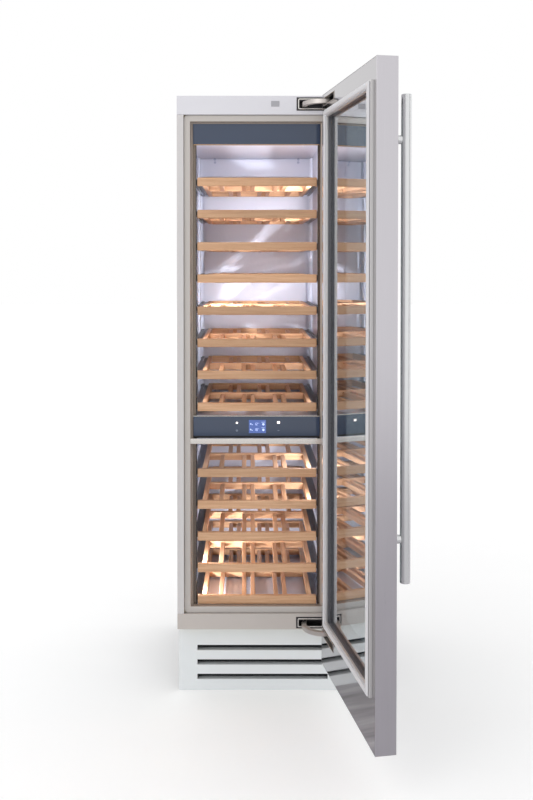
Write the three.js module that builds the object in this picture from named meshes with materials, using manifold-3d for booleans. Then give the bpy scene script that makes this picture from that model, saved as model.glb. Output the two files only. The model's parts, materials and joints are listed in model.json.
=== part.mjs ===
// Column wine cooler with two temperature zones: a steel cabinet with an inner liner and thirteen
// sliding beech racks, closed by a glazed steel door on two concealed articulated hinges.
// Millimetres, +Z up. The origin is on the floor under the middle of the toe kick's foot flange,
// the door side faces -Y. The door stands open, as it does when the racks are in use.
import * as THREE from 'three';
import { mergeVertices } from 'three/addons/utils/BufferGeometryUtils.js';
import Module from 'manifold-3d';

const wasm = await Module();
wasm.setup();

// ---------------------------------------------------------------- driving dimensions
const GAP = 0.3; // clearance between pieces that touch

const BODY_WIDTH = 608;
const BODY_HEIGHT = 2134;
const BODY_DEPTH = 640;
const FRONT = -60; // Y of the cabinet's front plane
const SHEET = 2; // outer sheet metal

const BASE_HEIGHT = 242; // machine compartment, up to the bottom rail
const FOOT_HEIGHT = 20;
const RAIL_DEPTH = 20;
const TOP_RAIL_BOTTOM = 2068;
const BOTTOM_RAIL_TOP = 297;
const LEFT_STILE_WIDTH = 24;
const RIGHT_STILE_WIDTH = 68; // wider, it backs the hinge side

const STRIKE_RECESS = 10; // the sealing frame lies this far behind the front plane
const STRIKE_FACE = 21;
const STRIKE_FACE_BELOW = 22.2; // leaves the lowest rack room to slide out over it
const STRIKE_RETURN = 11;

const LINER = { x0: -261, x1: 216, z0: 312, z1: 2046, d0: 34.3, d1: 600, wall: 2 };
const OPENING = { x0: -248, x1: 203.5, z0: 316, z1: 2039 };
const CEILING = 1985;

const RACK_CENTRE = -20.5;
const RACK_WIDTH = 394;
const RACK_FRONT_WIDTH = 426;
const RACK_DEPTH = 550;
const RACK_FRONT_D = 30; // the front bars lie this far behind the front plane
const BAR_HEIGHT = 30;
const BAR_THICKNESS = 19;
const SLAT_WIDTH = 16;
const SLAT_DROP = 7;
const SLAT_HEIGHT = 20;
const CROSS_BAR = { d: 300, thickness: 18, drop: 2, height: 26 }; // the bar across the middle
const SIDE_BAR = { drop: 3, height: 24 };
const FRONT_SLATS = [-130, -46.6, -14.4, 70, 102]; // the rear half holds the same, turned about
const UPPER_RACKS = { count: 8, top: 1850, pitch: 115 };
const LOWER_RACKS = { count: 5, top: 808, pitch: 114.2 };
const SLIDE = { width: 15.9, height: 22, drop: 4, d0: 55, d1: 540 };
const UPRIGHT = { depth: 10.7, width: 16, front: 60, back: 556, z0: 316, z1: 1981 };
const FIXED_RAIL = { d0: 58, d1: 574 };

const DOOR_WIDTH = 604;
const DOOR_THICKNESS = 63.5;
const DOOR_Z0 = 144.4;
const DOOR_Z1 = 2126.5;
const DOOR_STANDOFF = 8; // closed, from the front plane to the door's inner face
const DOOR_OPEN = 99.78; // degrees, as built
const WINDOW = { u0: 95, u1: 551, z0: 327, z1: 2037 };
const PANE = { u0: 88.3, u1: 557.7, z0: 320.3, z1: 2043.7 };

const ARM_PIVOT = { x: 150, d: 10 };
const DOOR_PIVOT = { u: 36.2, w: 15 }; // in the door, from its hinge-side inner edge
const ARM_OPENING = 35.195; // degrees the arms turn while the door opens to DOOR_OPEN
const ARM_BULGE = 61; // degrees between the curved arm and its chord at the door pivot
const ARM_HALF_WIDTH = 8;
const PIN_RADIUS = 3;
const PIN_CLEARANCE = 0.5;
const TOP_ARM = { z0: 2093, z1: 2107 };
const BOTTOM_ARM = { z0: 255, z1: 269 };

const PLINTH_RECESS = 50;
const SLOTS = { half: 235.6, height: 19, first: 39.9, pitch: 52.7, count: 3, ledge: 26 };

// ---------------------------------------------------------------- materials
const paint = (color, roughness, metalness = 0) => ({ color, roughness, metalness });
const FINISH = {
  shell: paint(0xb9babd, 0.5, 0.6),
  frontPaint: paint(0xdad9de, 0.4, 0.3),
  stilePaint: paint(0xdedcdc, 0.4, 0.3),
  lowerPaint: paint(0xbab2ae, 0.45, 0.4),
  strikePaint: paint(0xc3bcb7, 0.45, 0.2),
  liner: paint(0xe6e2ee, 0.35, 0.2),
  foam: paint(0xe9dfb8, 0.9),
  slateGlass: paint(0x4b5262, 0.12),
  displayGlass: paint(0x506ebe, 0.2),
  brightTrim: paint(0xc9c9cc, 0.25, 0.9),
  plinth: paint(0xe3e7ea, 0.45, 0.1),
  greyPlastic: paint(0x9a9aa0, 0.5),
  galvanised: paint(0x9da1a3, 0.5, 0.8),
  blackEnamel: paint(0x1c1c1e, 0.4, 0.2),
  aluminium: paint(0xc4c6c9, 0.4, 0.9),
  castZinc: paint(0xb8b2ac, 0.45, 0.8),
  darkPlastic: paint(0x26282b, 0.5),
  lamp: paint(0xfdf8ee, 0.3),
  steelOuter: paint(0xc2bfbe, 0.3, 1),
  steelInner: paint(0xb4b6ba, 0.15, 1),
  frameSteel: paint(0xb6b6b8, 0.3, 0.9),
  gasket: paint(0xb2b3b6, 0.6),
  glass: paint(0xaebcc2, 0.05),
  spacer: paint(0x4a4c50, 0.5),
  beech: paint(0xcda076, 0.55),
};

const cooler = new THREE.Group();

// ---------------------------------------------------------------- solids and booleans
function toManifold(geometry) {
  const bare = geometry.clone();
  bare.deleteAttribute('normal');
  bare.deleteAttribute('uv');
  const merged = mergeVertices(bare, 1e-4);
  return new wasm.Manifold(new wasm.Mesh({
    numProp: 3,
    vertProperties: Float32Array.from(merged.attributes.position.array),
    triVerts: Uint32Array.from(merged.index.array),
  }));
}

function toGeometry(solid) {
  const mesh = solid.getMesh();
  const geometry = new THREE.BufferGeometry();
  geometry.setAttribute('position', new THREE.BufferAttribute(Float32Array.from(mesh.vertProperties), 3));
  geometry.setIndex(new THREE.BufferAttribute(Uint32Array.from(mesh.triVerts), 1));
  geometry.computeVertexNormals();
  return geometry;
}

function join(...geometries) {
  const solids = geometries.map(toManifold);
  return toGeometry(solids.reduce((whole, next) => whole.add(next)));
}

function cut(geometry, ...tools) {
  return toGeometry(tools.reduce((left, tool) => left.subtract(toManifold(tool)), toManifold(geometry)));
}

// A block from its low and high corners.
function block(x0, x1, y0, y1, z0, z1) {
  const geometry = new THREE.BoxGeometry(x1 - x0, y1 - y0, z1 - z0);
  geometry.translate((x0 + x1) / 2, (y0 + y1) / 2, (z0 + z1) / 2);
  return geometry;
}

// A block of the cabinet: d is the depth behind the front plane.
function cabinetBlock(x0, x1, d0, d1, z0, z1) {
  return block(x0, x1, FRONT + d0, FRONT + d1, z0, z1);
}

// An upright cylinder.
function post(x, y, z0, z1, radius, sides = 16) {
  const geometry = new THREE.CylinderGeometry(radius, radius, z1 - z0, sides);
  geometry.rotateX(Math.PI / 2);
  geometry.translate(x, y, (z0 + z1) / 2);
  return geometry;
}

// A cylinder along Y.
function spindle(x, y0, y1, z, radius, sides = 16) {
  const geometry = new THREE.CylinderGeometry(radius, radius, y1 - y0, sides);
  geometry.translate(x, (y0 + y1) / 2, z);
  return geometry;
}

// A rectangular ring in the XZ plane, from y0 to y1: outer and inner hold x0, x1, z0, z1.
function ring(outer, inner, y0, y1) {
  return cut(
    block(outer.x0, outer.x1, y0, y1, outer.z0, outer.z1),
    block(inner.x0, inner.x1, y0 - 1, y1 + 1, inner.z0, inner.z1),
  );
}

function place(name, geometry, finish, parent = cooler) {
  const mesh = new THREE.Mesh(geometry, new THREE.MeshStandardMaterial(finish));
  mesh.name = name;
  parent.add(mesh);
  return mesh;
}

// ---------------------------------------------------------------- cabinet shell
const half = BODY_WIDTH / 2;
const inset = half - SHEET - GAP; // half width left between the side panels
const shellFront = RAIL_DEPTH + GAP;
const pocketX = { x0: 118.8, x1: 275.2 };
const topPocket = { z0: 2082, z1: 2128, cavityZ0: 2090, cavityZ1: 2115 };
const bottomPocket = { z0: 246, z1: 286, cavityZ0: 252, cavityZ1: 274.5 };
const POCKET_DEPTH = 40;

function pocketHole(pocket, d1) {
  const { x0, x1 } = pocketX;
  return cabinetBlock(x0 - GAP, x1 + GAP, -1, d1, pocket.z0 - GAP, pocket.z1 + GAP);
}

function addShell() {
  for (const [name, side] of [['left_side_panel', -1], ['right_side_panel', 1]]) {
    const outer = side * half;
    const inner = side * (half - SHEET);
    const sheet = cabinetBlock(Math.min(outer, inner), Math.max(outer, inner), shellFront, BODY_DEPTH,
      BASE_HEIGHT, BODY_HEIGHT);
    place(name, sheet, FINISH.shell);
  }
  place('top_panel', cabinetBlock(-inset, inset, shellFront, BODY_DEPTH - SHEET - GAP,
    BODY_HEIGHT - SHEET, BODY_HEIGHT), FINISH.shell);
  place('back_panel', cabinetBlock(-inset, inset, BODY_DEPTH - SHEET, BODY_DEPTH,
    BASE_HEIGHT, BODY_HEIGHT - SHEET - GAP), FINISH.shell);
}

function addFrontFrame() {
  const topRail = cabinetBlock(-half, half, 0, RAIL_DEPTH, TOP_RAIL_BOTTOM, BODY_HEIGHT);
  place('top_front_rail', cut(topRail, pocketHole(topPocket, RAIL_DEPTH + 1)), FINISH.frontPaint);
  const bottomRail = cabinetBlock(-half, half, 0, RAIL_DEPTH, BASE_HEIGHT, BOTTOM_RAIL_TOP);
  place('bottom_front_rail', cut(bottomRail, pocketHole(bottomPocket, RAIL_DEPTH + 1)), FINISH.lowerPaint);
  const z0 = BOTTOM_RAIL_TOP + GAP;
  const z1 = TOP_RAIL_BOTTOM - GAP;
  place('left_front_stile', cabinetBlock(-half, -half + LEFT_STILE_WIDTH, 0, RAIL_DEPTH, z0, z1),
    FINISH.stilePaint);
  place('right_front_stile', cabinetBlock(half - RIGHT_STILE_WIDTH, half, 0, RAIL_DEPTH, z0, z1),
    FINISH.stilePaint);
}

// The flat face that the door's gasket closes on, with a return that leads into the liner.
function addStrikeFrame() {
  const outer = {
    x0: -half + LEFT_STILE_WIDTH + GAP,
    x1: half - RIGHT_STILE_WIDTH - GAP,
    z0: BOTTOM_RAIL_TOP + GAP,
    z1: TOP_RAIL_BOTTOM - GAP,
  };
  const step = {
    x0: OPENING.x0 - STRIKE_RETURN,
    x1: OPENING.x1 + STRIKE_RETURN,
    z0: outer.z0 + STRIKE_FACE_BELOW,
    z1: outer.z1 - STRIKE_FACE,
  };
  const returnOuter = { x0: LINER.x0 - 1.5, x1: LINER.x1 + 1.5, z0: LINER.z0 - 1.5, z1: LINER.z1 + 1.5 };
  const face = ring(outer, step, FRONT + STRIKE_RECESS, FRONT + STRIKE_RECESS + 6);
  const sleeve = ring(returnOuter, OPENING, FRONT + STRIKE_RECESS + 5, FRONT + LINER.d0 - GAP);
  place('strike_frame', join(face, sleeve), FINISH.strikePaint);
}

function addInsulationAndLiner() {
  const { x0, x1, z0, z1, d0, d1, wall } = LINER;
  const linerOuter = cabinetBlock(x0 - wall, x1 + wall, d0, d1 + wall, z0 - wall, z1 + wall);
  place('inner_liner', cut(linerOuter, cabinetBlock(x0, x1, d0 - 1, d1, z0, z1)), FINISH.liner);
  const foam = cabinetBlock(-inset, inset, shellFront, BODY_DEPTH - SHEET - GAP,
    BASE_HEIGHT + GAP, BODY_HEIGHT - SHEET - GAP);
  const room = wall + GAP;
  place('insulation_foam', cut(foam,
    cabinetBlock(x0 - room, x1 + room, 0, d1 + room, z0 - room, z1 + room),
    pocketHole(topPocket, POCKET_DEPTH + GAP),
    pocketHole(bottomPocket, POCKET_DEPTH + GAP)), FINISH.foam);
}

// ---------------------------------------------------------------- machine compartment
function addBase() {
  const side = half - SHEET - GAP;
  const front = PLINTH_RECESS + SHEET + GAP;
  const back = BODY_DEPTH - GAP;
  const tray = join(
    cabinetBlock(-side, side, front, back, FOOT_HEIGHT, FOOT_HEIGHT + SHEET),
    cabinetBlock(-side, -side + SHEET, front, back, FOOT_HEIGHT, BASE_HEIGHT - GAP),
    cabinetBlock(side - SHEET, side, front, back, FOOT_HEIGHT, BASE_HEIGHT - GAP),
  );
  place('base_tray', tray, FINISH.galvanised);
  for (const [end, d] of [['front', 110], ['rear', 590]]) {
    for (const [hand, x] of [['left', -250], ['right', 250]]) {
      const foot = join(post(x, FRONT + d, 0, 8, 22), post(x, FRONT + d, 0, FOOT_HEIGHT - GAP, 8));
      place(`levelling_foot_${end}_${hand}`, foot, FINISH.blackEnamel);
    }
  }
}

// Toe kick: a folded plate with three air slots, each with a ledge, standing on its foot flange.
function addToeKick() {
  const side = half - SHEET - GAP;
  const d0 = PLINTH_RECESS;
  const slots = [];
  const ledges = [];
  for (let i = 0; i < SLOTS.count; i += 1) {
    const z = SLOTS.first + i * SLOTS.pitch;
    slots.push(cabinetBlock(-SLOTS.half, SLOTS.half, d0 - 1, d0 + SHEET + 1, z, z + SLOTS.height));
    ledges.push(cabinetBlock(-SLOTS.half, SLOTS.half, d0 + 1, d0 + SLOTS.ledge, z - SHEET, z));
  }
  const plate = cut(cabinetBlock(-side, side, d0, d0 + SHEET, 0, BASE_HEIGHT - GAP), ...slots);
  const flange = cabinetBlock(-side + 5, side - 5, d0, d0 + 20, 0, SHEET);
  place('toe_kick_grille', join(plate, flange, ...ledges), FINISH.plinth);
}

const COMPRESSOR = { x: 130, d: 450 };
const COMPRESSOR_OUTLINE = [ // radius, height
  [0, 0], [70, 0], [74, 12], [76, 70], [74, 125], [60, 150], [30, 160], [0, 162],
];
const CONDENSER = { x0: -235, x1: -25, d0: 100, d1: 150, z0: 35, z1: 228 };
const FAN = { x: -130, z: 132, d0: 176, d1: 198, radius: 78, hub: 22, blades: 5, motorRadius: 26 };
const BLADE = { thickness: 2, chord: 34, pitch: 28, root: 4 };

function addMachinery() {
  const compressor = new THREE.LatheGeometry(COMPRESSOR_OUTLINE.map(([r, z]) => new THREE.Vector2(r, z)), 18);
  compressor.rotateX(Math.PI / 2);
  compressor.translate(COMPRESSOR.x, FRONT + COMPRESSOR.d, FOOT_HEIGHT + SHEET + GAP);
  place('compressor', compressor, FINISH.blackEnamel);

  const { x0, x1, d0, d1, z0, z1 } = CONDENSER;
  const motor = spindle(FAN.x, FRONT + d1 - 1, FRONT + FAN.d0 - 0.5, FAN.z, FAN.motorRadius);
  place('condenser', join(cabinetBlock(x0, x1, d0, d1, z0, z1), motor), FINISH.blackEnamel);

  const hub = spindle(FAN.x, FRONT + FAN.d0, FRONT + FAN.d1, FAN.z, FAN.hub);
  const blades = [];
  for (let i = 0; i < FAN.blades; i += 1) {
    const blade = new THREE.BoxGeometry(FAN.radius - FAN.hub + BLADE.root, BLADE.thickness, BLADE.chord);
    blade.rotateX(THREE.MathUtils.degToRad(BLADE.pitch));
    blade.translate((FAN.radius + FAN.hub - BLADE.root) / 2, 0, 0);
    blade.rotateY((i * 2 * Math.PI) / FAN.blades);
    blade.translate(FAN.x, FRONT + (FAN.d0 + FAN.d1) / 2, FAN.z);
    blades.push(blade);
  }
  place('condenser_fan', join(hub, ...blades), FINISH.darkPlastic);
}

// ---------------------------------------------------------------- inside the liner
const HEADER = { d0: 22, d1: 26, z0: 1967 };
const EVAPORATOR = { x0: -200, x1: 155, d0: 200, d1: 420, z0: 1990, z1: 2038, fin: 2, pitch: 25 };
const DIVIDER = { x0: -249.5, x1: 204.5, d0: 60, z0: 903, z1: 996, wall: 3 };
const CONTROL_PANEL = { d0: 20, d1: 24, z0: 928.6, z1: 998.4 };
const DISPLAY = { x0: -49.6, x1: 11.5, d0: 18.5, d1: 19.7, z0: 939, z1: 986 };
const TRIM_BAR = { x0: -258.5, x1: 214.2, d0: 9.6, d1: 14.7, z0: 901, z1: 921 };
const LED_STRIP = { width: 8, d0: 38, d1: 52, z0: 332, z1: 1975 };

function boxOf({ x0, x1, d0, d1, z0, z1 }) {
  return cabinetBlock(x0, x1, d0, d1, z0, z1);
}

function addInterior() {
  const between = { x0: OPENING.x0 + GAP, x1: OPENING.x1 - GAP };
  const wide = { x0: LINER.x0 + GAP, x1: LINER.x1 - GAP };
  place('header_panel', boxOf({ ...between, ...HEADER, z1: OPENING.z1 - GAP }), FINISH.slateGlass);
  place('ceiling_panel', boxOf({
    ...wide, d0: LINER.d0 + GAP, d1: LINER.d1 - GAP, z0: CEILING - SHEET, z1: CEILING,
  }), FINISH.liner);
  addEvaporator();

  const { wall } = DIVIDER;
  const shelf = boxOf({ ...DIVIDER, d1: LINER.d1 - GAP });
  const hollow = boxOf({
    x0: DIVIDER.x0 + wall, x1: DIVIDER.x1 - wall, d0: DIVIDER.d0 + wall, d1: LINER.d1 + 1,
    z0: DIVIDER.z0 + wall, z1: DIVIDER.z1 - wall,
  });
  place('zone_divider', cut(shelf, hollow), FINISH.liner);
  place('control_panel', boxOf({ ...between, ...CONTROL_PANEL }), FINISH.slateGlass);
  place('display', boxOf(DISPLAY), FINISH.displayGlass);
  place('divider_trim_bar', boxOf(TRIM_BAR), FINISH.brightTrim);

  const leftLamp = LINER.x0 + 0.4;
  const rightLamp = LINER.x1 - 0.4;
  place('led_strip_left', boxOf({ ...LED_STRIP, x0: leftLamp, x1: leftLamp + LED_STRIP.width }), FINISH.lamp);
  place('led_strip_right', boxOf({ ...LED_STRIP, x0: rightLamp - LED_STRIP.width, x1: rightLamp }),
    FINISH.lamp);
}

// Upright fins on one long plate.
function addEvaporator() {
  const { x0, x1, z0, z1, fin, pitch } = EVAPORATOR;
  const middle = (z0 + z1) / 2;
  const fins = [boxOf({ ...EVAPORATOR, z0: middle - 4, z1: middle + 2 })];
  for (let x = x0 + fin; x < x1; x += pitch) {
    fins.push(boxOf({ ...EVAPORATOR, x0: x, x1: x + fin }));
  }
  place('evaporator', join(...fins), FINISH.aluminium);
}

function rackTops() {
  const tops = [];
  for (const zone of [UPPER_RACKS, LOWER_RACKS]) {
    for (let i = 0; i < zone.count; i += 1) {
      tops.push(zone.top - i * zone.pitch);
    }
  }
  return tops;
}

// One side's fixed runners: a rail for each rack, on two uprights.
function addRunners() {
  const reach = RACK_WIDTH / 2 + SLIDE.width + GAP;
  const { depth, width, front, back, z0, z1 } = UPRIGHT;
  const sides = [
    ['left_runner_ladder', LINER.x0 + GAP, 1, RACK_CENTRE - reach],
    ['right_runner_ladder', LINER.x1 - GAP, -1, RACK_CENTRE + reach],
  ];
  for (const [name, wallX, inward, railX] of sides) {
    const postX = wallX + inward * depth;
    const span = (a, b) => [Math.min(a, b), Math.max(a, b)];
    const pieces = [];
    for (const d of [front, back]) {
      pieces.push(cabinetBlock(...span(wallX, postX), d, d + width, z0, z1));
    }
    for (const top of rackTops()) {
      const railTop = top - SLIDE.drop;
      pieces.push(cabinetBlock(...span(postX - inward, railX), FIXED_RAIL.d0, FIXED_RAIL.d1,
        railTop - SLIDE.height, railTop));
    }
    place(name, join(...pieces), FINISH.galvanised);
  }
}

// A beech rack, lying in its slides. The slides' moving members are joined to its sides.
function rack(top) {
  const side = RACK_WIDTH / 2;
  const front = RACK_FRONT_WIDTH / 2;
  const back = RACK_FRONT_D + RACK_DEPTH;
  const crossBack = CROSS_BAR.d + CROSS_BAR.thickness;
  const bar = (x0, x1, d0, d1, drop, height) => cabinetBlock(RACK_CENTRE + x0, RACK_CENTRE + x1,
    d0, d1, top - drop - height, top - drop);
  const pieces = [
    bar(-front, front, RACK_FRONT_D, RACK_FRONT_D + BAR_THICKNESS, 0, BAR_HEIGHT),
    bar(-side, side, CROSS_BAR.d, crossBack, CROSS_BAR.drop, CROSS_BAR.height),
    bar(-side, side, back - BAR_THICKNESS, back, CROSS_BAR.drop, CROSS_BAR.height),
  ];
  for (const x of [-side, side - SLAT_WIDTH]) {
    pieces.push(bar(x, x + SLAT_WIDTH, RACK_FRONT_D + 1, back - 1, SIDE_BAR.drop, SIDE_BAR.height));
  }
  for (const x of [-side - SLIDE.width, side - 1]) {
    pieces.push(bar(x, x + SLIDE.width + 1, SLIDE.d0, SLIDE.d1, SLIDE.drop, SLIDE.height));
  }
  for (const x of FRONT_SLATS) {
    pieces.push(bar(x - SLAT_WIDTH / 2, x + SLAT_WIDTH / 2, RACK_FRONT_D + 1, CROSS_BAR.d + 1,
      SLAT_DROP, SLAT_HEIGHT));
    pieces.push(bar(-x - SLAT_WIDTH / 2, -x + SLAT_WIDTH / 2, crossBack - 1, back - 1,
      SLAT_DROP, SLAT_HEIGHT));
  }
  return join(...pieces);
}

function addRacks() {
  rackTops().forEach((top, i) => {
    place(`rack_${String(i + 1).padStart(2, '0')}`, rack(top), FINISH.beech);
  });
}

// ---------------------------------------------------------------- hinges
const rad = THREE.MathUtils.degToRad;

function turned(x, y, degrees) {
  return new THREE.Vector2(x, y).rotateAround(new THREE.Vector2(), rad(degrees));
}

const armPivot = new THREE.Vector2(ARM_PIVOT.x, FRONT + ARM_PIVOT.d);
const closedDoorPivot = new THREE.Vector2(
  DOOR_WIDTH / 2 - DOOR_PIVOT.u,
  FRONT - DOOR_STANDOFF - DOOR_PIVOT.w,
);
const closedArm = closedDoorPivot.clone().sub(armPivot);
const doorPivot = armPivot.clone().add(turned(closedArm.x, closedArm.y, -ARM_OPENING));

// A curved link of constant width from pivot to pivot, with a pin hole at each end.
function hingeArm(z0, z1) {
  const chord = armPivot.clone().sub(doorPivot);
  const radius = chord.length() / (2 * Math.sin(rad(ARM_BULGE)));
  const tangent = chord.angle() + rad(ARM_BULGE);
  const centre = new THREE.Vector2(Math.sin(tangent), -Math.cos(tangent));
  centre.multiplyScalar(radius).add(doorPivot);
  const from = doorPivot.clone().sub(centre).angle();
  const to = from - rad(2 * ARM_BULGE);
  const outline = new THREE.Shape();
  outline.absarc(centre.x, centre.y, radius + ARM_HALF_WIDTH, from, to, true);
  outline.absarc(armPivot.x, armPivot.y, ARM_HALF_WIDTH, to, to - Math.PI, true);
  outline.absarc(centre.x, centre.y, radius - ARM_HALF_WIDTH, to, from, false);
  outline.absarc(doorPivot.x, doorPivot.y, ARM_HALF_WIDTH, from + Math.PI, from, true);
  const link = new THREE.ExtrudeGeometry(outline, { depth: z1 - z0, bevelEnabled: false, curveSegments: 9 });
  link.translate(0, 0, z0);
  const bore = PIN_RADIUS + PIN_CLEARANCE;
  return cut(link,
    post(armPivot.x, armPivot.y, z0 - 1, z1 + 1, bore, 12),
    post(doorPivot.x, doorPivot.y, z0 - 1, z1 + 1, bore, 12));
}

// A die-cast box let into the rail, with the pin that the arm turns on.
function hingePocket(pocket) {
  const box = cabinetBlock(pocketX.x0, pocketX.x1, -1, POCKET_DEPTH, pocket.z0, pocket.z1);
  const cavity = cabinetBlock(pocketX.x0 + 9, pocketX.x1 - 9, -2, POCKET_DEPTH - 3,
    pocket.cavityZ0, pocket.cavityZ1);
  const pin = post(armPivot.x, armPivot.y, pocket.cavityZ0 - 1, pocket.cavityZ1 + 1, PIN_RADIUS, 12);
  return join(cut(box, cavity), pin);
}

function addHinges() {
  place('hinge_pocket_top', hingePocket(topPocket), FINISH.castZinc);
  place('hinge_pocket_bottom', hingePocket(bottomPocket), FINISH.castZinc);
  place('hinge_arm_top', hingeArm(TOP_ARM.z0, TOP_ARM.z1), FINISH.castZinc);
  place('hinge_arm_bottom', hingeArm(BOTTOM_ARM.z0, BOTTOM_ARM.z1), FINISH.castZinc);
}

// ---------------------------------------------------------------- door
// In the door's own frame X runs from the hinge side to the handle side, Y from the inner face
// outwards, and Z up. The frame's origin is the hinge-side inner edge.
const DOOR_ARM_SLOTS = [{ z0: 2086, z1: 2112 }, { z0: 248.5, z1: 274 }];
const ARM_SLOT = { u0: 17, u1: 157, depth: 50 };

function windowRing(margin) {
  return {
    x0: WINDOW.u0 - margin,
    x1: WINDOW.u1 + margin,
    z0: WINDOW.z0 - margin,
    z1: WINDOW.z1 + margin,
  };
}

function addDoor() {
  const door = new THREE.Group();
  const offset = turned(-DOOR_PIVOT.u, -DOOR_PIVOT.w, 180 + DOOR_OPEN);
  door.position.set(doorPivot.x + offset.x, doorPivot.y + offset.y, 0);
  door.rotation.z = rad(180 + DOOR_OPEN);
  cooler.add(door);

  const slots = (y1) => DOOR_ARM_SLOTS.map(({ z0, z1 }) => block(ARM_SLOT.u0, ARM_SLOT.u1, -1, y1, z0, z1));
  const skin = block(0, DOOR_WIDTH, 0, DOOR_THICKNESS, DOOR_Z0, DOOR_Z1);
  const hollow = block(SHEET, DOOR_WIDTH - SHEET, -1, DOOR_THICKNESS - SHEET, DOOR_Z0 + SHEET, DOOR_Z1 - SHEET);
  const pane = block(WINDOW.u0 + 10, WINDOW.u1 - 10, 0, DOOR_THICKNESS + 1, WINDOW.z0 + 10, WINDOW.z1 - 10);
  place('door_outer_panel', cut(skin, hollow, pane), FINISH.steelOuter, door);

  const edge = SHEET + GAP;
  const inside = { x0: edge, x1: DOOR_WIDTH - edge, z0: DOOR_Z0 + edge, z1: DOOR_Z1 - edge };
  const innerPanel = ring(inside, windowRing(3), 0, SHEET);
  place('door_inner_panel', cut(innerPanel, ...slots(SHEET + 1)), FINISH.steelInner, door);

  const glazing = { x0: PANE.u0 - GAP, x1: PANE.u1 + GAP, z0: PANE.z0 - GAP, z1: PANE.z1 + GAP };
  const core = cut(ring(inside, glazing, SHEET + GAP, DOOR_THICKNESS - SHEET - GAP), ...slots(ARM_SLOT.depth));
  const pins = DOOR_ARM_SLOTS.map(({ z0, z1 }) => post(DOOR_PIVOT.u, DOOR_PIVOT.w, z0 - 1, z1 + 1,
    PIN_RADIUS, 12));
  place('door_core', join(core, ...pins), FINISH.foam, door);

  const frame = join(
    ring({ x0: 68, x1: 578, z0: 300, z1: 2064 }, windowRing(0), -10, -GAP),
    ring(windowRing(2.7), windowRing(0), -5, 6.7),
  );
  place('door_inner_frame', frame, FINISH.frameSteel, door);
  place('door_gasket', ring({ x0: 71, x1: 575, z0: 303, z1: 2061 }, windowRing(3), -17, -10 - GAP),
    FINISH.gasket, door);

  const sheet = (y0, y1) => block(PANE.u0, PANE.u1, y0, y1, PANE.z0, PANE.z1);
  const paneRing = { x0: PANE.u0, x1: PANE.u1, z0: PANE.z0, z1: PANE.z1 };
  place('inner_glass', sheet(7, 11), FINISH.glass, door);
  place('glass_spacer', ring(paneRing, windowRing(-24), 11 + GAP, 52 - GAP), FINISH.spacer, door);
  place('outer_glass', sheet(52, 57), FINISH.glass, door);
  addHandle(door);
}

const HANDLE = {
  u: 545, standoff: 45, width: 30, depth: 30, corner: 14.5, z0: 615, z1: 2031, postZ: [1900, 744], postRadius: 13,
};

function addHandle(door) {
  const w = DOOR_THICKNESS + HANDLE.standoff;
  const halfWidth = HANDLE.width / 2;
  const halfDepth = HANDLE.depth / 2;
  const round = HANDLE.corner;
  const section = new THREE.Shape();
  section.absarc(halfWidth - round, halfDepth - round, round, 0, Math.PI / 2, false);
  section.absarc(-halfWidth + round, halfDepth - round, round, Math.PI / 2, Math.PI, false);
  section.absarc(-halfWidth + round, -halfDepth + round, round, Math.PI, 1.5 * Math.PI, false);
  section.absarc(halfWidth - round, -halfDepth + round, round, 1.5 * Math.PI, 2 * Math.PI, false);
  const bar = new THREE.ExtrudeGeometry(section, {
    depth: HANDLE.z1 - HANDLE.z0, bevelEnabled: false, curveSegments: 6,
  });
  bar.translate(HANDLE.u, w, HANDLE.z0);
  place('handle_bar', bar, FINISH.brightTrim, door);
  const names = ['handle_post_top', 'handle_post_bottom'];
  HANDLE.postZ.forEach((z, i) => {
    const stub = spindle(HANDLE.u, DOOR_THICKNESS + GAP, w - halfDepth - GAP, z, HANDLE.postRadius);
    place(names[i], stub, FINISH.brightTrim, door);
  });
}

function addSensorPlate() {
  place('door_sensor_plate', cabinetBlock(28.5, 57.5, -1.3, -GAP, 2096, 2115.5), FINISH.greyPlastic);
}

addShell();
addFrontFrame();
addStrikeFrame();
addInsulationAndLiner();
addBase();
addToeKick();
addMachinery();
addInterior();
addRunners();
addRacks();
addHinges();
addDoor();
addSensorPlate();

export default cooler;
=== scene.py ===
"""Looks of a tall two-zone wine cooler: steel door on articulated hinges, white liner, beech racks."""
import json
import math
import random

import bmesh
import bpy
from mathutils import Matrix, Vector


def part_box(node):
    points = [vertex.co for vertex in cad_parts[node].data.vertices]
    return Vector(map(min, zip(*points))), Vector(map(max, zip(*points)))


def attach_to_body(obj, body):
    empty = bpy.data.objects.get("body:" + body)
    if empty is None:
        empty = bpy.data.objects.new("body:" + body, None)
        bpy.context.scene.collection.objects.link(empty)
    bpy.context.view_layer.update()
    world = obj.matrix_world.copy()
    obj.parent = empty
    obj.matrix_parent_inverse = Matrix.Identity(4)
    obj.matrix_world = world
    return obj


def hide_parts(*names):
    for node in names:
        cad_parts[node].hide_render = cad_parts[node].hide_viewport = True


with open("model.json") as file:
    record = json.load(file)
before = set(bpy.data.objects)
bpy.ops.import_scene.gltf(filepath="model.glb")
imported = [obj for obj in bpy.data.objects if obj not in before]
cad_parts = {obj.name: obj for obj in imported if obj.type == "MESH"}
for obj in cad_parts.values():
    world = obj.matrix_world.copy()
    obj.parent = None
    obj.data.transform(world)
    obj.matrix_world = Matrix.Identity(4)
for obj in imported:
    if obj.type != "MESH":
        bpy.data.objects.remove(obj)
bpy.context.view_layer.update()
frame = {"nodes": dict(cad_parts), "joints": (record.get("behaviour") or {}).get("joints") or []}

MM = 0.001
RNG = random.Random(11)
RACKS = [f"rack_{i:02d}" for i in range(1, 14)]
JOINTS = {joint["name"]: joint for joint in frame["joints"]}
FRONT_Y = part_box("left_front_stile")[0].y

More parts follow.
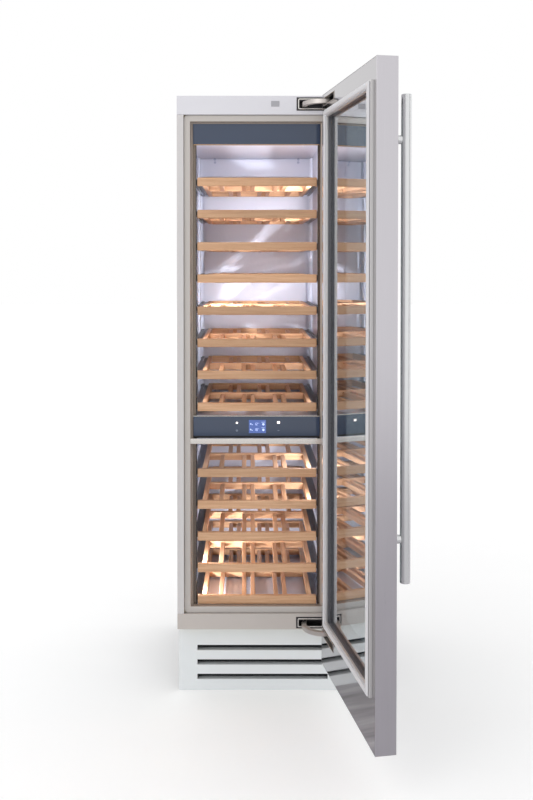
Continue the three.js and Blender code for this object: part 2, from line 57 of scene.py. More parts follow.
# The door as it stands, and its parts in its own frame: (u0, u1, z0, z1) from the hinge-side edge.
DOOR_OPEN = math.radians(99.78)
DOOR_PIVOT = Vector((36.2, 15, 0)) * MM
RAISED_FRAME = (68 * MM, 578 * MM, 300 * MM, 2064 * MM)
GASKET = (71 * MM, 575 * MM, 303 * MM, 2061 * MM)
WINDOW = (95 * MM, 551 * MM, 327 * MM, 2037 * MM)
PANE = (88.3 * MM, 557.7 * MM, 320.3 * MM, 2043.7 * MM)
ARM_SLOT_U = (17, 157)
ARM_SLOTS_Z = {"top": (2086, 2112), "bottom": (248.5, 274)}

# The sealing frame round the opening, and the two zones inside it.
STRIKE_FACE = 21 * MM
STRIKE_LIP = 26 * MM
STRIKE_CORNER = 12 * MM
RACK_CLEARANCE = 0.8 * MM
UPPER_ZONE = (1.0, 1.981)
LOWER_ZONE = (0.316, 0.899)
REAR_SCREWS_X = (-191, 157)

# The stretches of Z where each side's lamp strip is bright.
LIT_RIGHT = [(1.545, 1.825), (0.700, 0.890)]
LIT_LEFT = [(1.215, 1.475), (0.345, 0.530)]

# The racks: half the tray's width between its slides, its bars' and slats' sizes.
TRAY_HALF = 0.197
FRONT_BAR = 19 * MM
SIDE_BAR = 16 * MM
MIDDLE_BAR = (270 * MM, 288 * MM)
SLAT_HALF = 8 * MM
SLAT_HEIGHT = 20 * MM
SLAT_DROP = 7 * MM
FRONT_SLATS = (-130, -46.6, -14.4, 70, 102)


def door_matrix():
    """From the door's own frame (along its width, outwards, up) to the cooler's."""
    pivot = Vector(JOINTS["door_swing"]["pos_m"])
    pivot.z = 0
    turn = Matrix.Rotation(math.pi + DOOR_OPEN, 4, "Z")
    return Matrix.Translation(pivot) @ turn @ Matrix.Translation(-DOOR_PIVOT)


DOOR = door_matrix()


# ------------------------------------------------------------------ colours and shader groups
def srgb(r, g, b):
    def linear(v):
        v /= 255
        return v / 12.92 if v <= 0.04045 else ((v + 0.055) / 1.055) ** 2.4
    return (linear(r), linear(g), linear(b), 1.0)


def add(tree, kind, place=(0, 0), **settings):
    node = tree.nodes.new(kind)
    node.location = place
    for key, value in settings.items():
        setattr(node, key, value)
    return node


def socket(tree, name, out=False, kind="NodeSocketFloat", default=None):
    item = tree.interface.new_socket(name, in_out="OUTPUT" if out else "INPUT", socket_type=kind)
    if default is not None:
        item.default_value = default
    return item


def new_group(name, inputs, outputs):
    tree = bpy.data.node_groups.new(name, "ShaderNodeTree")
    for label, kind, default in inputs:
        socket(tree, label, False, kind, default)
    for label, kind in outputs:
        socket(tree, label, True, kind)
    return tree, add(tree, "NodeGroupInput"), add(tree, "NodeGroupOutput")


FLOAT = "NodeSocketFloat"
COLOR = "NodeSocketColor"
VECTOR = "NodeSocketVector"


def filled(node, **values):
    """Sets a node's inputs by name; an underscore stands for a space."""
    for key, value in values.items():
        node.inputs[key.replace("_", " ")].default_value = value
    return node


def noise(tree, vector, **values):
    node = filled(add(tree, "ShaderNodeTexNoise"), **values)
    tree.links.new(vector, node.inputs["Vector"])
    return node.outputs["Fac"]


def map_range(tree, value, **values):
    node = filled(add(tree, "ShaderNodeMapRange"), **values)
    tree.links.new(value, node.inputs["Value"])
    return node.outputs[0]


def mixed(tree, factor, a, b):
    node = add(tree, "ShaderNodeMix", data_type="RGBA")
    tree.links.new(factor, node.inputs["Factor"])
    tree.links.new(a, node.inputs["A"])
    tree.links.new(b, node.inputs["B"])
    return node.outputs["Result"]


def scaled(tree, vector, factor):
    node = add(tree, "ShaderNodeVectorMath", operation="SCALE")
    tree.links.new(vector, node.inputs[0])
    tree.links.new(factor, node.inputs["Scale"])
    return node.outputs[0]


def vary_finish(tree, given, result, wave):
    """Changes the given colour by Shade and the roughness by Gloss, as wave goes from 0 to 1."""
    link = tree.links.new
    centred = add(tree, "ShaderNodeMath", operation="SUBTRACT")
    centred.inputs[1].default_value = 0.5
    link(wave, centred.inputs[0])
    shade = add(tree, "ShaderNodeMath", operation="MULTIPLY_ADD")
    shade.inputs[2].default_value = 1.0
    link(centred.outputs[0], shade.inputs[0])
    link(given.outputs["Shade"], shade.inputs[1])
    link(scaled(tree, given.outputs["Color"], shade.outputs[0]), result.inputs["Color"])
    gloss = add(tree, "ShaderNodeMath", operation="MULTIPLY_ADD")
    link(centred.outputs[0], gloss.inputs[0])
    link(given.outputs["Gloss"], gloss.inputs[1])
    link(given.outputs["Roughness"], gloss.inputs[2])
    link(gloss.outputs[0], result.inputs["Roughness"])


def uneven_group():
    """Slow change of shade and gloss over a surface, with a fine speckle."""
    tree, given, result = new_group(
        "uneven_finish",
        [("Vector", VECTOR, None), ("Color", COLOR, (0.5, 0.5, 0.5, 1)), ("Roughness", FLOAT, 0.4),
         ("Scale", FLOAT, 4.0), ("Shade", FLOAT, 0.05), ("Gloss", FLOAT, 0.08)],
        [("Color", COLOR), ("Roughness", FLOAT), ("Height", FLOAT)])
    slow = noise(tree, given.outputs["Vector"], Detail=3)
    tree.links.new(given.outputs["Scale"], slow.node.inputs["Scale"])
    fine = noise(tree, given.outputs["Vector"], Scale=900, Detail=2)
    vary_finish(tree, given, result, slow)
    tree.links.new(fine, result.inputs["Height"])
    return tree


def brushed_group():
    """Fine parallel lines: Stretch is the scale along each axis, small along the lines."""
    tree, given, result = new_group(
        "brushed_lines",
        [("Vector", VECTOR, None), ("Stretch", VECTOR, (400, 400, 4)), ("Color", COLOR, (0.5, 0.5, 0.5, 1)),
         ("Roughness", FLOAT, 0.3), ("Shade", FLOAT, 0.1), ("Gloss", FLOAT, 0.12)],
        [("Color", COLOR), ("Roughness", FLOAT), ("Height", FLOAT)])
    stretch = add(tree, "ShaderNodeVectorMath", operation="MULTIPLY")
    tree.links.new(given.outputs["Vector"], stretch.inputs[0])
    tree.links.new(given.outputs["Stretch"], stretch.inputs[1])
    lines = noise(tree, stretch.outputs[0], Scale=1.0, Detail=4, Roughness=0.65)
    vary_finish(tree, given, result, lines)
    tree.links.new(lines, result.inputs["Height"])
    return tree


def wood_group():
    """Beech: long growth bands, short dark flecks and planks' own shades, in board coordinates."""
    tree, given, result = new_group(
        "beech_grain",
        [("Board", VECTOR, None), ("Light", COLOR, (0.6, 0.35, 0.2, 1)),
         ("Dark", COLOR, (0.4, 0.2, 0.1, 1)), ("Fleck", COLOR, (0.25, 0.12, 0.06, 1))],
        [("Color", COLOR), ("Roughness", FLOAT), ("Height", FLOAT)])
    board = given.outputs["Board"]

    def stretched(scale):
        node = add(tree, "ShaderNodeVectorMath", operation="MULTIPLY")
        node.inputs[1].default_value = scale
        tree.links.new(board, node.inputs[0])
        return node.outputs[0]

    bands = noise(tree, stretched((5, 120, 120)), Scale=1.0, Detail=5, Roughness=0.6, Distortion=0.6)
    ramp = map_range(tree, bands, From_Min=0.3, From_Max=0.7)
    base = mixed(tree, ramp, given.outputs["Dark"], given.outputs["Light"])
    flecks = noise(tree, stretched((70, 900, 900)), Scale=1.0, Detail=2)
    pick = map_range(tree, flecks, From_Min=0.62, From_Max=0.75, To_Max=0.45)
    marked = mixed(tree, pick, base, given.outputs["Fleck"])
    plank = noise(tree, board, Scale=1.4, Detail=1)
    level = map_range(tree, plank, From_Min=0.3, From_Max=0.7, To_Min=0.84, To_Max=1.14)
    tree.links.new(scaled(tree, marked, level), result.inputs["Color"])
    rough = map_range(tree, bands, To_Min=0.42, To_Max=0.62)
    tree.links.new(rough, result.inputs["Roughness"])
    tree.links.new(flecks, result.inputs["Height"])
    return tree


UNEVEN = uneven_group()
BRUSHED = brushed_group()
BEECH = wood_group()


def start_material(name, metallic=0.0, **sockets):
    material = bpy.data.materials.new(name)
    material.use_nodes = True
    tree = material.node_tree
    shader = filled(tree.nodes["Principled BSDF"], Metallic=metallic, **sockets)
    return material, tree, shader


def use_group(tree, group, shader, depth, attribute=None, **values):
    """Feeds colour, roughness and bump from a group. depth is the bump's height in metres."""
    node = add(tree, "ShaderNodeGroup", (-300, 0), node_tree=group)
    if attribute:
        place = add(tree, "ShaderNodeAttribute", (-700, 0), attribute_name=attribute)
        vector = place.outputs["Vector"]
    else:
        place = add(tree, "ShaderNodeTexCoord", (-700, 0))
        vector = place.outputs["Object"]
    tree.links.new(vector, node.inputs[0])
    for key, value in values.items():
        node.inputs[key].default_value = value
    tree.links.new(node.outputs["Color"], shader.inputs["Base Color"])
    tree.links.new(node.outputs["Roughness"], shader.inputs["Roughness"])
    bump = add(tree, "ShaderNodeBump", (-150, -300))
    bump.inputs["Distance"].default_value = depth
    tree.links.new(node.outputs["Height"], bump.inputs["Height"])
    tree.links.new(bump.outputs["Normal"], shader.inputs["Normal"])
    return node


def coated(name, color, roughness, metallic=0.0, shade=0.05, gloss=0.08, scale=4.0, depth=4e-6,
           **sockets):
    """Paint, enamel, plastic or rubber."""
    material, tree, shader = start_material(name, metallic, **sockets)
    use_group(tree, UNEVEN, shader, depth, Color=color, Roughness=roughness, Scale=scale,
              Shade=shade, Gloss=gloss)
    return material


def brushed(name, color, roughness, stretch, shade=0.1, gloss=0.12, depth=3e-6, metallic=1.0,
            **sockets):
    """Metal with fine lines along the axis that stretch is smallest on."""
    material, tree, shader = start_material(name, metallic, **sockets)
    use_group(tree, BRUSHED, shader, depth, Color=color, Roughness=roughness, Stretch=stretch,
              Shade=shade, Gloss=gloss)
    return material


def beech():
    material, tree, shader = start_material("oiled_beech", 0.0, Coat_Weight=0.08, Coat_Roughness=0.35)
    use_group(tree, BEECH, shader, 1.5e-5, attribute="board", Light=srgb(216, 176, 140),
              Dark=srgb(191, 144, 107), Fleck=srgb(148, 103, 73))
    return material


def clear_glass(name, color, metallic=0.0):
    """Glass with smudges that are a little rougher."""
    material, tree, shader = start_material(
        name, metallic, Base_Color=color, Transmission_Weight=1.0, IOR=1.5)
    place = add(tree, "ShaderNodeTexCoord", (-700, 0))
    smudge = noise(tree, place.outputs["Object"], Scale=3)
    gloss = map_range(tree, smudge, From_Min=0.55, From_Max=0.8, To_Max=0.02)
    tree.links.new(gloss, shader.inputs["Roughness"])
    return material


def zone_mask(tree, zones):
    """1 where an object's Z is in one of the zones, and 0 elsewhere."""
    place = add(tree, "ShaderNodeTexCoord", (-1200, -500))
    split = add(tree, "ShaderNodeSeparateXYZ", (-1000, -500))
    tree.links.new(place.outputs["Object"], split.inputs[0])
    mask = None
    for low, high in zones:
        near = add(tree, "ShaderNodeMath", (-800, -500), operation="COMPARE")
        near.inputs[1].default_value = (low + high) / 2
        near.inputs[2].default_value = (high - low) / 2
        tree.links.new(split.outputs["Z"], near.inputs[0])
        if mask is None:
            mask = near.outputs[0]
            continue
        both = add(tree, "ShaderNodeMath", (-600, -500), operation="MAXIMUM")
        tree.links.new(mask, both.inputs[0])
        tree.links.new(near.outputs[0], both.inputs[1])
        mask = both.outputs[0]
    return mask


def glowing(name, color, strength, zones=None):
    """A lit lens. zones are the stretches of Z that are lit; elsewhere it is a white diffuser."""
    material, tree, shader = start_material(name, Emission_Strength=strength)
    use_group(tree, UNEVEN, shader, 2e-6, Color=color, Roughness=0.35)
    if not zones:
        filled(shader, Emission_Color=color)
        return material
    mix = add(tree, "ShaderNodeMix", (-400, -500), data_type="RGBA")
    mix.inputs["A"].default_value = (0, 0, 0, 1)
    mix.inputs["B"].default_value = color
    tree.links.new(zone_mask(tree, zones), mix.inputs["Factor"])
    tree.links.new(mix.outputs["Result"], shader.inputs["Emission Color"])
    return material


UPRIGHT = (380, 380, 5)
CROSSWISE = (5, 380, 380)

M = {
    "shell": brushed("zinc_sheet", srgb(176, 178, 182), 0.42, (60, 60, 8), shade=0.12, metallic=0.7),
    "front": coated("light_grey_paint", srgb(217, 216, 222), 0.34, 0.0, Coat_Weight=0.15),
    "stile": coated("white_grey_paint", srgb(205, 202, 202), 0.34, 0.0, Coat_Weight=0.15),
    "lower": coated("warm_grey_paint", srgb(191, 184, 179), 0.32, 0.0, Coat_Weight=0.2),
    "strike": coated("strike_extrusion", srgb(193, 187, 182), 0.3, 0.15, Coat_Weight=0.2),
    "strike_lip_painted_shade": coated("strike_lip_painted_shade", srgb(160, 147, 137), 0.3, 0.15, Coat_Weight=0.2),
    "return": brushed("strike_return_painted_shade", srgb(124, 113, 104), 0.22, UPRIGHT, shade=0.05, metallic=0.85),
    "liner": coated("white_liner", srgb(214, 217, 232), 0.3, 0.0, shade=0.03),
    "foam": coated("rigid_foam", srgb(226, 208, 142), 0.85, 0.0, shade=0.3, depth=2e-4, scale=30),
    # Darkened zinc for the base tray: painted shade under the cabinet.
    "zinc": brushed("shaded_zinc_plate", srgb(92, 94, 96), 0.45, (30, 30, 30), shade=0.25),
    "runner": brushed("runner_steel", srgb(120, 122, 126), 0.36, (300, 6, 300), shade=0.3),
    "rubber": coated("black_rubber", srgb(34, 34, 35), 0.6, 0.0, shade=0.2),
    "plinth": coated("plinth_paint", srgb(228, 232, 234), 0.3, 0.0, Coat_Weight=0.15),
    "enamel": coated("black_enamel", srgb(28, 28, 30), 0.3, 0.0, Coat_Weight=0.4),
    "plastic": coated("dark_plastic", srgb(38, 40, 44), 0.42, 0.0, depth=2e-5),
    "slate": coated("slate_glass", srgb(54, 66, 88), 0.06, 0.0, shade=0.05, gloss=0.03, scale=2,
                    depth=5e-7, Coat_Weight=0.35, Coat_Roughness=0.03),
    "trim": brushed("bright_trim", srgb(228, 224, 218), 0.26, CROSSWISE, shade=0.02, gloss=0.03,
                    metallic=0.75),
    "handle": brushed("handle_steel", srgb(226, 227, 228), 0.24, UPRIGHT, shade=0.1, metallic=0.72),
    "alu": brushed("mill_aluminium", srgb(200, 202, 205), 0.35, (40, 40, 40)),
    "sensor": coated("sensor_plastic", srgb(166, 165, 171), 0.4, 0.0, depth=1e-5),
    "pocket": coated("pocket_painted_shade", srgb(52, 50, 52), 0.4, 0.3),
    "cast": coated("cast_zinc", srgb(202, 195, 190), 0.34, 0.85, shade=0.2, gloss=0.2, depth=3e-5,
                   scale=30),
    "outer_steel": brushed("outer_steel", srgb(204, 201, 206), 0.3, UPRIGHT, shade=0.08),
    "inner_steel": brushed("inner_steel", srgb(190, 188, 190), 0.08, UPRIGHT, shade=0.04, gloss=0.03,
                           depth=0),
    "frame_steel": brushed("frame_steel", srgb(211, 209, 209), 0.36, UPRIGHT, shade=0.04, metallic=0.6),
    "gasket": coated("gasket_rubber", srgb(204, 203, 206), 0.45, 0.0, shade=0.04),
    # Painted shade: the lower window bead is drawn dark grey for the shade under the frame's inner lip.
    "bead": coated("window_bead", srgb(96, 96, 101), 0.4, 0.2),
    "spacer": coated("spacer_band", srgb(78, 80, 84), 0.35, 0.2),
    # Painted shade: a near-black finish for the uprights' perforations and the gap under the control panel.
    "painted_shade": coated("painted_shade_dark", srgb(24, 23, 24), 0.7, 0.0),
    "screw": brushed("screw_steel", srgb(176, 183, 206), 0.3, (60, 60, 60), metallic=0.3),
    "beech": beech(),
    "glass": clear_glass("coated_pane", (0.93, 0.95, 0.97, 1), 0.35),
    "tinted": clear_glass("tinted_pane", (0.28, 0.34, 0.36, 1)),
    "display": glowing("display_glow", srgb(76, 98, 160), 0.5),
    "mark": glowing("display_mark", srgb(190, 204, 238), 0.7),
    "touch": glowing("touch_glow", srgb(255, 244, 238), 1.6),
    "dim": coated("dim_mark", srgb(112, 122, 140), 0.2),
    "lens": coated("header_lens", srgb(196, 160, 120), 0.2, 0.3, Coat_Weight=0.5),
    "lamp_left": glowing("lamp_left", (0.94, 0.96, 1.0, 1), 6, LIT_LEFT),
    "lamp_right": glowing("lamp_right", (0.94, 0.96, 1.0, 1), 6, LIT_RIGHT),
}


# ------------------------------------------------------------------ mesh helpers
def to_object(name, mesh, material, smooth=35):
    """An object from a mesh: smooth edges under the given angle, large faces kept flat."""
    piece = bpy.data.objects.new(name, mesh)
    bpy.context.scene.collection.objects.link(piece)
    mesh.materials.clear()
    mesh.materials.append(material)
    mesh.shade_smooth()
    mesh.set_sharp_from_angle(angle=math.radians(smooth))
    weigh = piece.modifiers.new("flat_faces", "WEIGHTED_NORMAL")
    weigh.keep_sharp = True
    weigh.weight = 100
    graph = bpy.context.evaluated_depsgraph_get()
    flat = bpy.data.meshes.new_from_object(piece.evaluated_get(graph), preserve_all_data_layers=True,
                                           depsgraph=graph)
    piece.modifiers.clear()
    piece.data = flat
    flat.name = name
    bpy.data.meshes.remove(mesh)
    return piece


def bm_object(name, bm, material, smooth=35):
    bmesh.ops.recalc_face_normals(bm, faces=bm.faces)
    mesh = bpy.data.meshes.new(name)
    bm.to_mesh(mesh)
    bm.free()
    return to_object(name, mesh, material, smooth)


def baked(piece, name, material):
    """The piece with its modifiers made real, as a new plain mesh."""
    graph = bpy.context.evaluated_depsgraph_get()
    mesh = bpy.data.meshes.new_from_object(piece.evaluated_get(graph), preserve_all_data_layers=True,
                                           depsgraph=graph)
    bpy.data.objects.remove(piece)
    return to_object(name, mesh, material)


def attach(piece, body, slot, *nodes):
    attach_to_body(piece, body)
    if nodes:
        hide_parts(*nodes)
    return piece


def softened(node, material, width, segments=2):
    """A CAD node's shape with its sharp edges rounded."""
    source = frame["nodes"][node]
    bm = bmesh.new()
    bm.from_mesh(source.data)
    bmesh.ops.remove_doubles(bm, verts=bm.verts, dist=1e-6)
    bmesh.ops.dissolve_limit(bm, angle_limit=math.radians(0.5), verts=bm.verts, edges=bm.edges)
    mesh = bpy.data.meshes.new(node)
    bm.to_mesh(mesh)
    bm.free()
    piece = bpy.data.objects.new(node, mesh)
    bpy.context.scene.collection.objects.link(piece)
    bevel = piece.modifiers.new("edges", "BEVEL")
    bevel.width = width
    bevel.segments = segments
    bevel.limit_method = "ANGLE"
    bevel.angle_limit = math.radians(32)
    bevel.use_clamp_overlap = True
    corners = piece.modifiers.new("corners", "TRIANGULATE")
    corners.min_vertices = 5
    return baked(piece, node + "_shape", material)


def repaint(node, material):
    """Gives a CAD node its finish."""
    piece = frame["nodes"][node]
    piece.data.materials.clear()
    piece.data.materials.append(material)


def rounded_rect(x0, x1, z0, z1, radius, steps=6):
    """Points round a rectangle in XZ, with an arc at each corner."""
    points = []
    for cx, cz, start in ((x1 - radius, z1 - radius, 0), (x0 + radius, z1 - radius, 90),
                          (x0 + radius, z0 + radius, 180), (x1 - radius, z0 + radius, 270)):
        for i in range(steps + 1):
            angle = math.radians(start + 90 * i / steps)
            points.append((cx + radius * math.cos(angle), cz + radius * math.sin(angle)))
    return points


SMALLEST_CORNER = 0.4 * MM


def framed(name, rect, radius, profile, material, matrix=None, smooth=35):
    """A closed frame round a rectangle in XZ. profile is a closed list of (inset, y) points."""
    x0, x1, z0, z1 = rect
    bm = bmesh.new()
    loops = []
    for inset, y in profile:
        corner = max(radius - inset, SMALLEST_CORNER)
        points = rounded_rect(x0 + inset, x1 - inset, z0 + inset, z1 - inset, corner)
        loops.append([bm.verts.new((x, y, z)) for x, z in points])
    count = len(loops[0])
    for k, loop in enumerate(loops):
        following = loops[(k + 1) % len(loops)]
        for i in range(count):
            j = (i + 1) % count
            bm.faces.new((loop[i], loop[j], following[j], following[i]))
    if matrix is not None:
        bmesh.ops.transform(bm, matrix=matrix, verts=bm.verts)
    return bm_object(name, bm, material, smooth)


def add_bar(bm, low, high, radius, grain=None, layer=None, segments=2):
    """A block with rounded edges. Wood has a grain axis and a layer for each point's place in it."""
    size = [b - a for a, b in zip(low, high)]
    made = bmesh.ops.create_cube(bm, size=1.0)["verts"]
    centre = [(a + b) / 2 for a, b in zip(low, high)]
    for vert in made:
        vert.co = Vector([c + s * v for c, s, v in zip(centre, size, vert.co)])
    edges = {edge for vert in made for edge in vert.link_edges}
    result = bmesh.ops.bevel(bm, geom=list(edges), offset=radius, segments=segments, affect="EDGES",
                             profile=0.5)
    if layer is None:
        return
    verts = {vert for face in result["faces"] for vert in face.verts}
    verts |= {vert for vert in made if vert.is_valid}
    shift = Vector((RNG.uniform(0, 20), RNG.uniform(0, 20), RNG.uniform(0, 20)))
    for vert in verts:
        x, y, z = vert.co
        local = Vector((x, y, z)) if grain == "X" else Vector((y, x, z))
        vert[layer] = local + shift


CHANNEL_EDGE = 0.3 * MM


def add_block(bm, xs, ys, zs, radius, **settings):
    """add_bar from spans; the two values of xs may come in either order."""
    add_bar(bm, (min(xs), ys[0], zs[0]), (max(xs), ys[1], zs[1]), radius, **settings)


def add_channel(bm, back, mouth, sheet, ys, zs):
    """A C-shaped steel channel: a web at X = back and two flanges that reach to X = mouth."""
    web = back + math.copysign(sheet, mouth - back)
    add_block(bm, (back, web), ys, zs, CHANNEL_EDGE, segments=1)
    add_block(bm, (back, mouth), ys, (zs[1] - sheet, zs[1]), CHANNEL_EDGE, segments=1)
    add_block(bm, (back, mouth), ys, (zs[0], zs[0] + sheet), CHANNEL_EDGE, segments=1)


def points_object(points):
    mesh = bpy.data.meshes.new("points")
    mesh.from_pydata([tuple(p) for p in points], [], [])
    piece = bpy.data.objects.new("points", mesh)
    bpy.context.scene.collection.objects.link(piece)
    return piece


def repeat_tree(with_board):
    """Copies a prototype to every point. On wood each copy gets its own piece of grain."""
    tree = bpy.data.node_groups.new("repeat", "GeometryNodeTree")
    socket(tree, "Points", False, "NodeSocketGeometry")
    socket(tree, "Prototype", False, "NodeSocketObject")
    socket(tree, "Finish", False, "NodeSocketMaterial")
    socket(tree, "Seed", False, "NodeSocketInt", 1)
    socket(tree, "Pieces", True, "NodeSocketGeometry")
    link = tree.links.new
    given = add(tree, "NodeGroupInput")
    result = add(tree, "NodeGroupOutput")
    info = add(tree, "GeometryNodeObjectInfo")
    link(given.outputs["Prototype"], info.inputs["Object"])
    copies = add(tree, "GeometryNodeInstanceOnPoints")
    link(given.outputs["Points"], copies.inputs["Points"])
    link(info.outputs["Geometry"], copies.inputs["Instance"])
    stream = copies.outputs["Instances"]
    if with_board:
        chance = add(tree, "FunctionNodeRandomValue", data_type="FLOAT_VECTOR")
        chance.inputs["Max"].default_value = (20, 20, 20)
        link(given.outputs["Seed"], chance.inputs["Seed"])
        keep = add(tree, "GeometryNodeStoreNamedAttribute", data_type="FLOAT_VECTOR", domain="INSTANCE")
        keep.inputs["Name"].default_value = "shift"
        link(stream, keep.inputs["Geometry"])
        link(chance.outputs["Value"], keep.inputs["Value"])
        stream = keep.outputs["Geometry"]
    real = add(tree, "GeometryNodeRealizeInstances")
    link(stream, real.inputs["Geometry"])
    stream = real.outputs["Geometry"]
    if with_board:
        board = add(tree, "GeometryNodeInputNamedAttribute", data_type="FLOAT_VECTOR")
        board.inputs["Name"].default_value = "board"
        shift = add(tree, "GeometryNodeInputNamedAttribute", data_type="FLOAT_VECTOR")
        shift.inputs["Name"].default_value = "shift"
        both = add(tree, "ShaderNodeVectorMath", operation="ADD")
        link(board.outputs["Attribute"], both.inputs[0])
        link(shift.outputs["Attribute"], both.inputs[1])
        store = add(tree, "GeometryNodeStoreNamedAttribute", data_type="FLOAT_VECTOR", domain="POINT")
        store.inputs["Name"].default_value = "board"
        link(stream, store.inputs["Geometry"])
        link(both.outputs[0], store.inputs["Value"])
        stream = store.outputs["Geometry"]
    finish = add(tree, "GeometryNodeSetMaterial")
    link(stream, finish.inputs["Geometry"])
    link(given.outputs["Finish"], finish.inputs["Material"])
    link(finish.outputs["Geometry"], result.inputs["Pieces"])
    return tree


REPEAT = repeat_tree(False)
REPEAT_BOARDS = repeat_tree(True)


def repeated(name, points, prototype, material, seed=1, boards=False):
    """Copies of the prototype at the points, as one plain mesh."""
    tree = REPEAT_BOARDS if boards else REPEAT
    piece = points_object(points)
    modifier = piece.modifiers.new("repeat", "NODES")
    modifier.node_group = tree
    inputs = {item.name: item.identifier for item in tree.interface.items_tree if item.in_out == "INPUT"}
    modifier[inputs["Prototype"]] = prototype
    modifier[inputs["Finish"]] = material
    modifier[inputs["Seed"]] = seed
    return baked(piece, name, material)


def joined(name, pieces, material):
    """Several pieces of one finish as one mesh."""
    bm = bmesh.new()
    for piece in pieces:
        bm.from_mesh(piece.data)
        bpy.data.objects.remove(piece)
    mesh = bpy.data.meshes.new(name)
    bm.to_mesh(mesh)
    bm.free()
    return to_object(name, mesh, material)


def prototype(build):
    """A small object to be copied; it is removed after use."""
    bm = bmesh.new()
    build(bm)
    bmesh.ops.recalc_face_normals(bm, faces=bm.faces)
    mesh = bpy.data.meshes.new("prototype")
    bm.to_mesh(mesh)
    bm.free()
    piece = bpy.data.objects.new("prototype", mesh)
    bpy.context.scene.collection.objects.link(piece)
    return piece


def in_cabinet(x, d, z):
    """A point from X, depth behind the front plane and Z, all in millimetres."""
    return Vector((x * MM, FRONT_Y + d * MM, z * MM))


# ------------------------------------------------------------------ cabinet
def make_shell():
    for node in ("left_side_panel", "right_side_panel", "top_panel", "back_panel"):
        repaint(node, M["shell"])
    # The base tray is drawn dark: painted shade under the cabinet, seen through the toe kick.
    repaint("base_tray", M["zinc"])
    repaint("insulation_foam", M["foam"])
    repaint("zone_divider", M["liner"])
    repaint("ceiling_panel", M["liner"])
    repaint("inner_liner", M["liner"])
    repaint("evaporator", M["alu"])
    repaint("condenser_fan", M["plastic"])
    repaint("led_strip_left", M["lamp_left"])
    repaint("led_strip_right", M["lamp_right"])
    for end in ("front", "rear"):
        for hand in ("left", "right"):
            repaint(f"levelling_foot_{end}_{hand}", M["rubber"])
    attach(softened("compressor", M["enamel"], 0.003), "cabinet", "black_enamel", "compressor")
    attach(softened("condenser", M["enamel"], 0.002), "cabinet", "black_enamel", "condenser")


def make_front_frame():
    for node, finish, slot in (("top_front_rail", "front", "front_paint"),
                               ("bottom_front_rail", "lower", "lower_paint"),
                               ("left_front_stile", "stile", "stile_paint"),
                               ("right_front_stile", "stile", "stile_paint")):
        attach(softened(node, M[finish], 0.0009), "cabinet", slot, node)
    attach(softened("toe_kick_grille", M["plinth"], 0.0005), "cabinet", "plinth", "toe_kick_grille")
    attach(softened("door_sensor_plate", M["sensor"], 0.0004), "cabinet", "sensor", "door_sensor_plate")


def make_strike_frame():
    """Flat sealing face, then the rounded return, kept below the lowest rack. The return is the strike
    paint drawn darker: painted shade.
    """
    low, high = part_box("strike_frame")
    rect = (low.x, high.x, low.z, high.z)
    y = low.y
    back = high.y
    face = STRIKE_FACE
    lip = STRIKE_LIP
    profile = [(0.0006, y + 0.0006), (0.0014, y), (face - 0.003, y), (face + 0.001, y + 0.0012),
               (face + 0.001, y + 0.005), (0.0006, y + 0.005)]
    flat = framed("strike_face", rect, STRIKE_CORNER, profile, M["strike"])
    attach(flat, "cabinet", "strike_paint")
    profile = [(face + 0.0012, y + 0.0015), (face + 0.004, y + 0.006), (lip - 0.001, y + 0.011),
               (lip + 0.0045, y + 0.014), (lip + 0.0052, back), (face, back), (face, y + 0.0053),
               (face + 0.0012, y + 0.0052)]
    piece = framed("strike_frame_shape", rect, STRIKE_CORNER, profile, M["strike_lip_painted_shade"])
    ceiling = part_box("rack_13")[0].z - RACK_CLEARANCE
    middle = (low.z + high.z) / 2
    for vertex in piece.data.vertices:
        if ceiling < vertex.co.z < middle:
            vertex.co.z = ceiling
    attach(piece, "cabinet", "strike_paint", "strike_frame")


def make_return_blades():
    """Polished upright strips that hide the lamps, drawn dark brown as painted shade, each with a dark seal
    along its inner edge.
    """
    low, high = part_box("rack_01")
    y = FRONT_Y + 34.6 * MM
    gap = 2.8 * MM
    upright = (0.3165, 2.0385)
    polished = bmesh.new()
    seals = bmesh.new()
    for edge, sign in ((low.x - gap, -1), (high.x + gap, 1)):
        add_block(polished, (edge + sign * 0.0016, edge + sign * 0.0135), (y, y + 0.0018), upright, 0.0007)
        add_block(seals, (edge, edge + sign * 0.0026), (y - 0.0012, y + 0.0030), upright, 0.0006)
    attach(bm_object("return_blades", polished, M["return"]), "cabinet", "strike_paint")
    attach(bm_object("return_seals", seals, M["rubber"]), "cabinet", "dark_plastic")


def make_grille_shade_sheet():
    """A dark sheet behind the slots of the toe kick: painted shade, seen through the slots."""
    bm = bmesh.new()
    add_block(bm, (-0.298, 0.298), (FRONT_Y + 0.0785, FRONT_Y + 0.0800), (0.024, 0.236), 0.0005)
    attach(bm_object("toe_kick_filter", bm, M["plastic"]), "cabinet", "dark_plastic")


def make_header():
    """The slate panel over the racks, with a thin lamp lens under it."""
    attach(softened("header_panel", M["slate"], 0.0006), "cabinet", "slate_glass", "header_panel")
    low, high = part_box("header_panel")
    bm = bmesh.new()
    add_block(bm, (low.x + 0.002, high.x - 0.002), (low.y + 0.0005, high.y + 0.012),
              (low.z - 0.0032, low.z - 0.0003), 0.0012)
    attach(bm_object("header_lens", bm, M["lens"]), "cabinet", "lamp")


